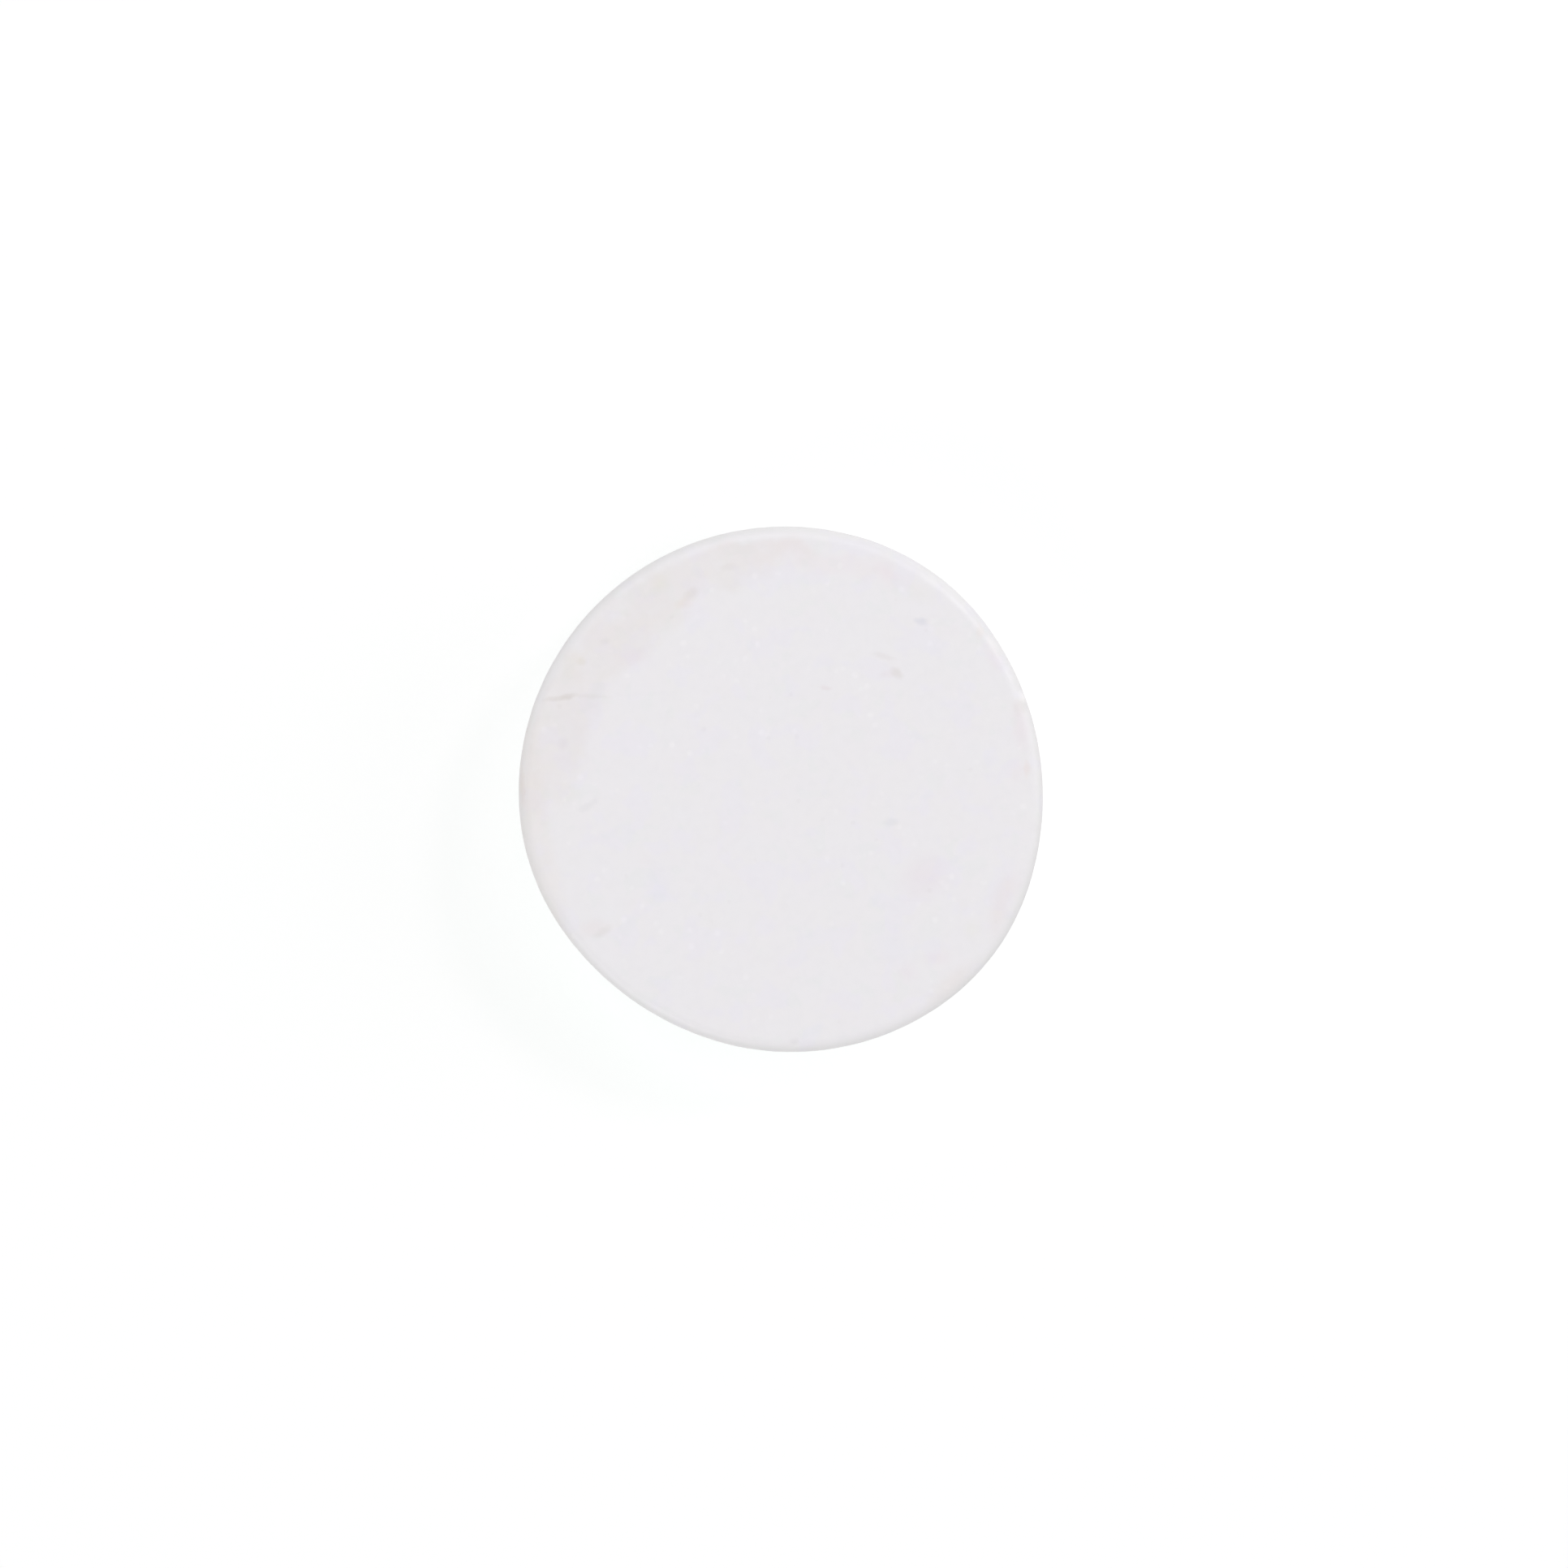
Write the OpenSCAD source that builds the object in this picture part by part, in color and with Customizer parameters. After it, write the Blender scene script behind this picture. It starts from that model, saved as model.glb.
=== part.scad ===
// A coated disc magnet. It lies on one pole face, with +Z through its thickness.
// The origin is the middle of the lower pole face. All sizes are in millimetres.

/* [Disc] */
// Diameter of the disc, as a tape round its rim would give it
magnet_d = 20; // [12:0.5:40]
// Thickness from pole face to pole face
magnet_t = 5; // [2:0.25:12]
// Radius of the rounded edge between the rim and each pole face
edge_r = 0.5; // [0.2:0.05:0.9]

/* [Rim] */
// How uneven the rim is: 0 is a true round, 1 is the real one
unevenness = 1; // [0:0.1:1.5]
// Direction in which the rim's first quarter starts, anticlockwise from +X
first_quarter_from = 35; // [0:5:355]
// How much tighter the rim gets part-way round its first quarter
step_1 = -1; // [-1.5:0.05:1.5]
// The same in its second quarter
step_2 = 1.05; // [-1.5:0.05:1.5]
// The same in its third quarter
step_3 = 1.1; // [-1.5:0.05:1.5]
// The same in its fourth quarter
step_4 = -2.3; // [-2.5:0.05:1.5]

/* [Hidden] */
$fn = 180;

// The rim is a closed run of arcs, each tangent to the next, taken anticlockwise. Every
// quarter of it is two arcs, which meet in the direction of a 3-4-5 triangle's long side.
// So the centres of all arcs come out at round numbers, and neighbours meet exactly.
meets = [[4, 3] / 5, [3, 4] / 5, [4, 3] / 5, [4, 3] / 5];

function sum(list, i = 0) = i < len(list) ? list[i] + sum(list, i + 1) : 0 * list[0];
function unit(a) = [cos(a), sin(a)];
function quarter_turned(v, q) = q == 0 ? v : quarter_turned([-v[1], v[0]], q - 1);

arcs = [for (i = [0 : 7]) i];
// The quarter of each arc, and the angles in that quarter at which it starts and ends
function quarter(i) = floor(i / 2);
function meet_angle(q) = atan2(meets[q][1], meets[q][0]);
function arc_from(i) = i % 2 == 0 ? 0 : meet_angle(quarter(i));
function arc_to(i) = i % 2 == 0 ? meet_angle(quarter(i)) : 90;
function arc_turn(i) = arc_to(i) - arc_from(i);
// Direction in which arc i starts
function start_of(i) = quarter_turned(i % 2 == 0 ? [1, 0] : meets[quarter(i)], quarter(i));

// The run closes if its steps add up to nothing, and so do the moves that they give its
// centre. The steps at the starts of three quarters see to that. The second has none.
inner_steps = [step_1, step_2, step_3, step_4] * unevenness;
inner_move = sum([for (q = [0 : 3]) inner_steps[q] * start_of(2 * q + 1)]);
open_sum = -sum(inner_steps) - inner_move[1];
steps = [
    (open_sum - inner_move[0]) / 2, inner_steps[0],
    0, inner_steps[1],
    (open_sum + inner_move[0]) / 2, inner_steps[2],
    inner_move[1], inner_steps[3]
];

// Each arc's radius over the first one's, and its centre
function extra_r(i) = i == 0 ? 0 : extra_r(i - 1) - steps[i];
function hop(i) = i == 0 ? [0, 0] : hop(i - 1) + steps[i] * start_of(i);
mean_extra = sum([for (i = arcs) extra_r(i) * arc_turn(i)]) / 360;
// To a hundredth of a millimetre, as a drawing would state it
first_r = magnet_d / 2 - round(100 * mean_extra) / 100;
arc_r = [for (i = arcs) first_r + extra_r(i)];
arc_centre = [for (i = arcs) hop(i)];

// How far the rim reaches in direction a from the first arc's centre, once it is turned
function turned(a) = (a - first_quarter_from + 720) % 360;
function arc_at(a) = 2 * floor(a / 90) + (a % 90 < meet_angle(floor(a / 90)) ? 0 : 1);
function arc_reach(i, a) = arc_centre[i] * unit(a) + arc_r[i];
function reach(a) = arc_reach(arc_at(turned(a)), turned(a));
middle = [reach(0) - reach(180), reach(90) - reach(270)] / 2;

// The plug round which the slices lie, wide enough to hold the tips of them all
plug_at = sum(arc_centre) / len(arcs);
plug_r = magnet_d / 20 + max([for (c = arc_centre) norm(c - plug_at)]);

// Half of the disc's section, from its axis out, with both outer edges rounded
module half_section(r) {
    square([r - edge_r, magnet_t]);
    translate([0, edge_r]) square([r, magnet_t - 2 * edge_r]);
    for (z = [edge_r, magnet_t - edge_r]) translate([r - edge_r, z]) circle(edge_r);
}

// The slice of the disc behind one arc of its rim
module slice(i) {
    translate(arc_centre[i]) rotate(90 * quarter(i))
        rotate_extrude(start = arc_from(i), angle = arc_turn(i)) half_section(arc_r[i]);
}

module magnet() {
    color([0.922, 0.914, 0.925])
        translate(-middle) rotate(first_quarter_from) union() {
            for (i = arcs) slice(i);
            translate(plug_at) cylinder(r = plug_r, h = magnet_t);
        }
}

magnet();
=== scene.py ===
"""The looks of a white-coated disc magnet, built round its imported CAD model.

The disc lies on one pole face and is seen from straight above. Lengths are in metres
unless a name ends in _mm.
"""

import logging
import math
from dataclasses import dataclass, field
from enum import Enum
from typing import Union

import bmesh
import bpy
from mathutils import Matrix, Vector, noise


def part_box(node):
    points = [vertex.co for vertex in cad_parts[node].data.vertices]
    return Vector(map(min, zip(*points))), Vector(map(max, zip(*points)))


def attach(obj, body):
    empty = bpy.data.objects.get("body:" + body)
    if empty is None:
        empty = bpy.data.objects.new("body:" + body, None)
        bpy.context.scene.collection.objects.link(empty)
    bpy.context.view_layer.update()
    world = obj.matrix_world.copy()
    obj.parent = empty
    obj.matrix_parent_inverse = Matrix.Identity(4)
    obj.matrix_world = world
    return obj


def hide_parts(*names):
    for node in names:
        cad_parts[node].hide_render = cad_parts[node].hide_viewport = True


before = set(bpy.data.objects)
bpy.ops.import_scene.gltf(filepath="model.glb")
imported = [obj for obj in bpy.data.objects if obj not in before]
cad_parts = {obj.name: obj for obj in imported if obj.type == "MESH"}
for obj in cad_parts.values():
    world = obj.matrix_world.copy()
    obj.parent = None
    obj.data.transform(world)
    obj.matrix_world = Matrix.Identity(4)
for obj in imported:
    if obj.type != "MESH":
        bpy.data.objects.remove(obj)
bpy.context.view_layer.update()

LOG = logging.getLogger("disc_magnet")
MM = 0.001
NODE = "magnet"
PIECE = "magnet_disc"
BODY = "root"

Colour = tuple[float, float, float]
Place = tuple[float, float, float]
Span = tuple[float, float]
# A noise's bumps for each millimetre, and how many finer layers it has
NoiseKind = tuple[float, float]
Socket = bpy.types.NodeSocket
Value = Union[float, Socket]

# The least angle of an edge that is rounded, and the least height of one that is cut into rows
SHARP = math.radians(60)
TALL = 1 * MM

# What a place is multiplied by to leave its height out
LEVEL = (1.0, 1.0, 0.0)

# A noise's middle, alone and as a colour, and what stretches its usual swing round it to 1
MIDDLE = 0.5
MIDDLE_COLOUR = (MIDDLE, MIDDLE, MIDDLE)
STRETCH = 4

# Sockets of the Mix node for colours, which shares their names with its other kinds
FACTOR, UNDER, OVER, MIXED = 0, 6, 7, 2


class Sum(Enum):
    """Arithmetic that a shader's Math and Vector Math nodes do."""

    ADD = "ADD"
    SUBTRACT = "SUBTRACT"
    MULTIPLY = "MULTIPLY"
    POWER = "POWER"


class NodeSketch:
    """Adds nodes to one shader tree, so that a finish reads as a list of layers."""

    def __init__(self, tree: bpy.types.NodeTree) -> None:
        """Starts on an empty tree.

        Args:
            tree: The node tree to fill.
        """
        self.tree = tree
        self.tree.nodes.clear()

    def add(self, kind: str, **settings: object) -> bpy.types.Node:
        """Adds one node.

        Args:
            kind: The node's Blender type name.
            **settings: Properties to set on the node.

        Returns:
            The new node.
        """
        node = self.tree.nodes.new(kind)
        for name, value in settings.items():
            setattr(node, name, value)
        return node

    def feed(self, socket: Socket, value: object) -> None:
        """Links a socket into an input, or sets the input to a plain value.

        Args:
            socket: The input to feed.
            value: Another node's output, a number, a vector or a colour.
        """
        if isinstance(value, bpy.types.NodeSocket):
            self.tree.links.new(value, socket)
        else:
            socket.default_value = value

    def math(self, step: Sum, first: Value, second: Value = 0.0, clamp: bool = False) -> Socket:
        """Does one sum.

        Args:
            step: The kind of sum.
            first: Its first term.
            second: Its second term.
            clamp: Whether the result is kept between 0 and 1.

        Returns:
            The sum's output.
        """
        node = self.add("ShaderNodeMath", operation=step.value, use_clamp=clamp)
        self.feed(node.inputs[0], first)
        self.feed(node.inputs[1], second)
        return node.outputs[0]

    def fade(self, value: Socket, nothing: float, full: float, top: float = 1.0) -> Socket:
        """Turns a distance or a noise into a smooth mask.

        Args:
            value: What the mask follows.
            nothing: The value at which the mask is 0.
            full: The value at which the mask is at its top.
            top: The mask's highest value.

        Returns:
            The mask.
        """
        node = self.add("ShaderNodeMapRange", interpolation_type="SMOOTHSTEP")
        self.feed(node.inputs["Value"], value)
        low_first = nothing < full
        node.inputs["From Min"].default_value = nothing if low_first else full
        node.inputs["From Max"].default_value = full if low_first else nothing
        node.inputs["To Min"].default_value = 0.0 if low_first else top
        node.inputs["To Max"].default_value = top if low_first else 0.0
        return node.outputs["Result"]

    def noise(self, where: Socket, per_mm: float, detail: float, colour: bool = False) -> Socket:
        """Adds a cloud of noise.

        Args:
            where: Coordinates in mm.
            per_mm: Blotches for each millimetre.
            detail: How many finer layers it has.
            colour: Whether three separate noises are wanted, as a colour.

        Returns:
            The noise, about 0.5 on average.
        """
        node = self.add("ShaderNodeTexNoise")
        self.feed(node.inputs["Vector"], where)
        node.inputs["Scale"].default_value = per_mm
        node.inputs["Detail"].default_value = detail
        return node.outputs["Color"] if colour else node.outputs[0]

    def vector(self, step: Sum, first: object, second: object) -> Socket:
        """Does one sum on vectors.

        Args:
            step: The kind of sum.
            first: Its first term.
            second: Its second term.

        Returns:
            The resulting vector.
        """
        node = self.add("ShaderNodeVectorMath", operation=step.value)
        self.feed(node.inputs[0], first)
        self.feed(node.inputs[1], second)
        return node.outputs["Vector"]

    def length(self, vector: Socket) -> Socket:
        """Gives a vector's length."""
        node = self.add("ShaderNodeVectorMath", operation="LENGTH")
        self.feed(node.inputs[0], vector)
        return node.outputs["Value"]

    def reach(self, place: Socket, degrees: float) -> Socket:
        """Gives how far a place lies in a level direction, in degrees anticlockwise from +X."""
        node = self.add("ShaderNodeVectorMath", operation="DOT_PRODUCT")
        self.feed(node.inputs[0], place)
        turn = math.radians(degrees)
        node.inputs[1].default_value = (math.cos(turn), math.sin(turn), 0.0)
        return node.outputs["Value"]

    def height(self, place: Socket) -> Socket:
        """Gives a place's height."""
        node = self.add("ShaderNodeSeparateXYZ")
        self.feed(node.inputs[0], place)
        return node.outputs["Z"]

    def lay(self, under: Socket, tint: object, mask: Value) -> Socket:
        """Tints a colour where a mask shows.

        Args:
            under: The colour beneath.
            tint: What it is multiplied by, as a plain colour or another node's output.
            mask: How much of the tint shows.

        Returns:
            The tinted colour.
        """
        node = self.add("ShaderNodeMix", data_type="RGBA", blend_type="MULTIPLY")
        self.feed(node.inputs[FACTOR], mask)
        self.feed(node.inputs[UNDER], under)
        self.feed(node.inputs[OVER], (*tint, 1.0) if isinstance(tint, tuple) else tint)
        return node.outputs[MIXED]


def put_in_scene(name: str, data: bpy.types.ID) -> bpy.types.Object:
    """Puts a new object into the scene.

    Args:
        name: Its name.
        data: Its mesh, lamp or camera.

    Returns:
        The object.
    """
    thing = bpy.data.objects.new(name, data)
    bpy.context.scene.collection.objects.link(thing)
    return thing


@dataclass(frozen=True)
class Stir:
    """A little noise that shifts coordinates, so that outlines drawn in them are uneven.

    Attributes:
        per_mm: Bends for each millimetre.
        by_mm: The furthest shift.
        detail: How many finer layers the noise has.
    """

    per_mm: float
    by_mm: float
    detail: float = 3.0

    def shift(self, sketch: NodeSketch, here: Socket) -> Socket:
        """Shifts coordinates.

        Args:
            sketch: The shader tree.
            here: Coordinates in mm.

        Returns:
            The shifted coordinates.
        """
        shift = sketch.noise(here, self.per_mm, self.detail, colour=True)
        centred = sketch.vector(Sum.SUBTRACT, shift, MIDDLE_COLOUR)
        sized = sketch.vector(Sum.MULTIPLY, centred, (2 * self.by_mm, 2 * self.by_mm, 0.0))
        return sketch.vector(Sum.ADD, here, sized)


@dataclass(frozen=True)
class HueDrift:
    """A tint that drifts a little from place to place, each colour by itself.

    Attributes:
        per_mm: Patches for each millimetre.
        by: How far each colour drifts, as a part of it.
        detail: How many finer layers the patches have.
    """

    per_mm: float
    by: Colour
    detail: float = 2.0

    def tint(self, sketch: NodeSketch, here: Socket) -> Socket:
        """Makes the tint.

        Args:
            sketch: The shader tree.
            here: Coordinates in mm.

        Returns:
            The tint, 1 on average.
        """
        patches = sketch.noise(here, self.per_mm, self.detail, colour=True)
        centred = sketch.vector(Sum.SUBTRACT, patches, MIDDLE_COLOUR)
        sized = sketch.vector(Sum.MULTIPLY, centred, tuple(STRETCH * part for part in self.by))
        return sketch.vector(Sum.ADD, sized, (1.0, 1.0, 1.0))


@dataclass(frozen=True)
class Patches:
    """Soft patches that a noise leaves here and there.

    Attributes:
        per_mm: Patches for each millimetre.
        detail: How many finer layers their outlines have.
        starts: Strength of the noise at which a patch starts.
        full: Strength of the noise at which it is full.
        top: How much of a full patch shows.
    """

    per_mm: float
    detail: float
    starts: float
    full: float
    top: float = 1.0

    def mask(self, sketch: NodeSketch, here: Socket) -> Socket:
        """Makes the mask of all the patches, from coordinates in mm."""
        cloud = sketch.noise(here, self.per_mm, self.detail)
        return sketch.fade(cloud, self.starts, self.full, self.top)


@dataclass(frozen=True)
class Dots:
    """Small round dots, one to each cell of a pattern of cells.

    Attributes:
        per_mm: Cells for each millimetre.
        ends: Distance from its cell's point at which a dot ends.
        full: Distance from its cell's point within which it is full.
    """

    per_mm: float
    ends: float
    full: float

    def mask(self, sketch: NodeSketch, here: Socket) -> Socket:
        """Makes the mask of all the dots.

        Args:
            sketch: The shader tree.
            here: Coordinates in mm.

        Returns:
            The mask, 1 where a dot is full.
        """
        cells = sketch.add("ShaderNodeTexVoronoi")
        sketch.feed(cells.inputs["Vector"], here)
        cells.inputs["Scale"].default_value = self.per_mm
        return sketch.fade(cells.outputs["Distance"], self.ends, self.full)


@dataclass(frozen=True)
class Band:
    """A span of depths below the upper face, over which something sets in.

    Attributes:
        nothing_mm: Depth at which there is none of it.
        full_mm: Depth at which it is full.
        top: How much of it shows where it is full.
    """

    nothing_mm: float
    full_mm: float
    top: float = 1.0

    def mask(self, sketch: NodeSketch, height: Socket, face_mm: float) -> Socket:
        """Makes the mask of the band, from a place's height and the upper face's."""
        return sketch.fade(height, face_mm - self.nothing_mm, face_mm - self.full_mm, self.top)


@dataclass(frozen=True)
class Mark:
    """A small stain, speck, scratch or painted highlight on the upper pole face.

    Attributes:
        x_mm: Its place to the right of the disc's middle.
        y_mm: Its place above the disc's middle, as seen from over it.
        long_mm: Its length.
        wide_mm: Its width.
        turn: Its direction, in degrees anticlockwise from +X.
        tint: What it does to the coat's red, green and blue.
        soft: How much of it is fading edge, from 0 to 1.
        deep_mm: How far it reaches down over the rounded edge.
    """

    x_mm: float
    y_mm: float
    long_mm: float
    wide_mm: float
    turn: float
    tint: Colour
    soft: float = 0.7
    deep_mm: float = 0.4

    def mask(self, sketch: NodeSketch, where: Socket, face_mm: float) -> Socket:
        """Makes the mask of this mark.

        Args:
            sketch: The shader tree.
            where: Coordinates in mm, slightly stirred.
            face_mm: Height of the face that it lies on.

        Returns:
            The mask, 1 where the mark is full.
        """
        node = sketch.add("ShaderNodeMapping", vector_type="TEXTURE")
        sketch.feed(node.inputs["Vector"], where)
        node.inputs["Location"].default_value = (self.x_mm, self.y_mm, face_mm)
        node.inputs["Rotation"].default_value = (0.0, 0.0, math.radians(self.turn))
        node.inputs["Scale"].default_value = (self.long_mm / 2, self.wide_mm / 2, self.deep_mm)
        return sketch.fade(sketch.length(node.outputs["Vector"]), 1.0 + self.soft, 1.0 - self.soft)


# The marks that show on the real disc's upper face, and a few painted highlights on its upper
# right edge and on the bump beside the nick
MARKS: dict[str, Mark] = {
    "blue_speck": Mark(5.31, 6.37, 0.44, 0.26, -22, (0.902, 0.910, 0.945)),
    "brown_speck": Mark(4.40, 4.42, 0.46, 0.32, -34, (0.915, 0.900, 0.880)),
    "brown_speck_tail": Mark(4.02, 4.36, 0.50, 0.24, 0, (0.988, 0.972, 0.968)),
    "grey_dab_by_speck": Mark(3.92, 5.04, 0.76, 0.19, -16, (0.958, 0.948, 0.944)),
    "green_speck": Mark(4.18, -1.25, 0.50, 0.28, 0, (0.945, 0.955, 0.950)),
    "grey_smudge": Mark(-7.43, -0.70, 0.46, 0.28, 15, (0.952, 0.954, 0.957)),
    "grey_smudge_end": Mark(-7.10, -0.49, 0.36, 0.24, 35, (0.960, 0.962, 0.965)),
    "scratch_deep_end": Mark(-8.46, 3.45, 0.95, 0.17, 6, (0.925, 0.915, 0.900)),
    "scratch_middle": Mark(-8.05, 3.55, 0.50, 0.20, 12, (0.940, 0.932, 0.918)),
    "scratch_tail": Mark(-7.30, 3.54, 1.20, 0.17, -2, (0.966, 0.962, 0.953)),
    "hairline": Mark(-4.30, 3.66, 4.20, 0.12, 4, (0.994, 0.994, 0.995), 0.9),
    "stain_heart": Mark(-5.50, 6.50, 4.20, 1.90, 44, (0.993, 0.987, 0.984), 0.9),
    "stain_by_scratch": Mark(-7.70, 2.60, 3.00, 1.40, 84, (0.992, 0.988, 0.990), 0.9),
    "rust_spot": Mark(-3.40, 7.43, 0.56, 0.34, 36, (0.948, 0.937, 0.926)),
    "rust_spot_foot": Mark(-3.64, 7.06, 0.62, 0.34, 10, (0.990, 0.970, 0.950)),
    "rust_fleck": Mark(-7.56, 4.85, 0.34, 0.26, 0, (0.958, 0.952, 0.925)),
    "rust_fleck_low": Mark(-8.25, 1.72, 0.34, 0.40, 0, (0.966, 0.958, 0.952)),
    "olive_patch": Mark(-7.95, 4.70, 1.20, 0.70, 60, (0.992, 0.986, 0.968), 0.9),
    "olive_patch_high": Mark(-4.62, 7.80, 0.55, 0.50, 40, (0.992, 0.988, 0.960), 0.9),
    "clear_patch": Mark(-6.15, 6.85, 1.10, 0.60, 45, (1.012, 1.024, 1.040), 0.9),
    "clear_patch_low": Mark(-7.75, 5.45, 0.70, 0.55, 50, (1.008, 1.020, 1.036), 0.9),
    "plum_patch": Mark(-5.60, 4.95, 1.10, 0.60, 5, (0.992, 0.976, 0.996), 0.9),
    "stain_fleck_low": Mark(-6.66, 5.60, 0.36, 0.22, 20, (0.962, 0.962, 0.962)),
    "stain_fleck_high": Mark(-1.95, 8.42, 0.62, 0.24, 5, (0.966, 0.958, 0.955)),
    "red_speck": Mark(1.68, 3.86, 0.38, 0.18, -8, (0.962, 0.935, 0.935)),
    "pink_patch": Mark(5.45, -3.34, 1.60, 1.25, 40, (0.985, 0.957, 0.980), 0.9),
    "grey_dab": Mark(-6.74, -5.41, 0.60, 0.26, 30, (0.950, 0.946, 0.938)),
    "brown_dab": Mark(-7.10, -5.28, 0.95, 0.55, 5, (0.984, 0.962, 0.954), 0.9),
    "pink_dab_low": Mark(5.95, -6.38, 0.75, 0.42, 0, (0.992, 0.970, 0.984), 0.9),
    "pink_dab_lower": Mark(4.83, -6.95, 0.60, 0.60, 0, (0.992, 0.974, 0.988), 0.9),
    "pink_patch_high": Mark(4.06, 8.23, 0.60, 1.00, 20, (0.996, 0.974, 0.980), 0.9),
    "olive_patch_right": Mark(5.27, 7.42, 1.00, 0.60, -30, (0.990, 0.988, 0.976), 0.9),
    "nick_grime": Mark(9.10, 3.12, 0.46, 0.56, 0, (0.962, 0.948, 0.940)),
    # Painted highlights: this mark and the four after it lighten the coat where the lamps'
    # highlight lies, on the bump beside the nick and in lumps along the upper right edge.
    "nick_painted_highlight": Mark(9.21, 3.52, 0.42, 0.26, -65, (1.125, 1.115, 1.105), 0.7, 0.6),
    "painted_highlight_high": Mark(5.66, 7.92, 0.90, 0.26, -38, (1.030, 1.030, 1.028)),
    "painted_highlight_middle": Mark(6.60, 7.18, 0.90, 0.22, -46, (1.026, 1.030, 1.030)),
    "painted_highlight_low": Mark(8.03, 5.56, 0.60, 0.22, -58, (1.034, 1.032, 1.028)),
    "painted_highlight_lower": Mark(8.66, 4.42, 0.50, 0.20, -65, (1.034, 1.032, 1.028)),
    "pink_edge_high": Mark(8.10, 4.95, 0.90, 0.44, -62, (0.996, 0.970, 0.982), 0.9),
    "pink_edge": Mark(9.10, 2.30, 1.40, 0.50, 98, (0.990, 0.960, 0.970), 0.9),
    "rust_edge_right": Mark(8.30, -4.50, 1.70, 0.60, 80, (0.986, 0.962, 0.952), 0.9),
    "pink_edge_right": Mark(8.78, -3.65, 0.80, 0.60, 70, (0.994, 0.974, 0.980), 0.9),
    "rust_edge_low": Mark(6.45, -7.38, 1.80, 0.60, 42, (0.980, 0.958, 0.942), 0.9),
    "olive_dab": Mark(7.25, -5.30, 0.60, 0.52, 30, (0.988, 0.993, 0.966), 0.9),
    "green_patch": Mark(5.66, -5.35, 0.80, 1.00, 0, (0.988, 0.998, 0.992), 0.9),
    "lilac_patch_left": Mark(-4.70, -3.60, 0.80, 1.30, 0, (0.985, 0.985, 1.010), 0.9),
    "lilac_patch_right": Mark(4.30, -6.00, 1.00, 1.20, 10, (0.984, 0.988, 1.008), 0.9),
    "lower_edge_dot": Mark(0.50, -9.55, 0.36, 0.22, 0, (0.958, 0.955, 0.958)),
    "left_rim_line": Mark(-9.82, 0.10, 1.40, 0.20, 92, (0.965, 0.935, 0.915)),
    "orange_fleck_high": Mark(7.56, 5.98, 0.40, 0.26, 90, (0.998, 0.968, 0.950), 0.9),
    "orange_fleck": Mark(9.35, 0.75, 0.22, 0.60, 0, (0.990, 0.955, 0.940)),
    "pink_by_right_rim": Mark(9.00, 0.75, 0.60, 0.70, 0, (0.994, 0.976, 0.988), 0.9),
}


@dataclass(frozen=True)
class StainArea:
    """A stained stretch of the upper face: what a clean disc, laid off to one side, leaves bare.

    Attributes:
        clean_x_mm: The clean disc's middle, to the right of this disc's.
        clean_y_mm: The same, above it.
        clean_r_mm: The clean disc's radius.
        fades_over_mm: Width of the stain's soft inner border.
        faces: Direction in which the stain's middle lies, in degrees anticlockwise from +X.
        starts_mm: How far out in that direction the stain starts.
        full_mm: How far out in that direction it is full.
        tint: What it does to the coat's red, green and blue.
    """

    clean_x_mm: float
    clean_y_mm: float
    clean_r_mm: float
    fades_over_mm: float
    faces: float
    starts_mm: float
    full_mm: float
    tint: Colour

    def mask(self, sketch: NodeSketch, where: Socket) -> Socket:
        """Makes the mask of this stain.

        Args:
            sketch: The shader tree.
            where: Coordinates in mm, slightly stirred.

        Returns:
            The mask, 1 where the stain is full.
        """
        offset = sketch.vector(Sum.SUBTRACT, where, (self.clean_x_mm, self.clean_y_mm, 0.0))
        flat = sketch.vector(Sum.MULTIPLY, offset, LEVEL)
        half = self.fades_over_mm / 2
        outside = sketch.fade(sketch.length(flat), self.clean_r_mm - half, self.clean_r_mm + half)
        window = sketch.fade(sketch.reach(where, self.faces), self.starts_mm, self.full_mm)
        return sketch.math(Sum.MULTIPLY, outside, window)


BROWN_STAIN = StainArea(2.22, -1.40, 10.10, 0.8, 135.0, 5.0, 6.2, (0.977, 0.965, 0.948))
PINK_STAIN = StainArea(0.4, -0.5, 8.75, 0.6, 80.0, 8.0, 8.8, (0.998, 0.980, 0.983))
YELLOW_RIM = StainArea(0.30, 0.15, 9.10, 0.6, 190.0, 8.5, 9.2, (0.990, 0.979, 0.960))


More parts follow.
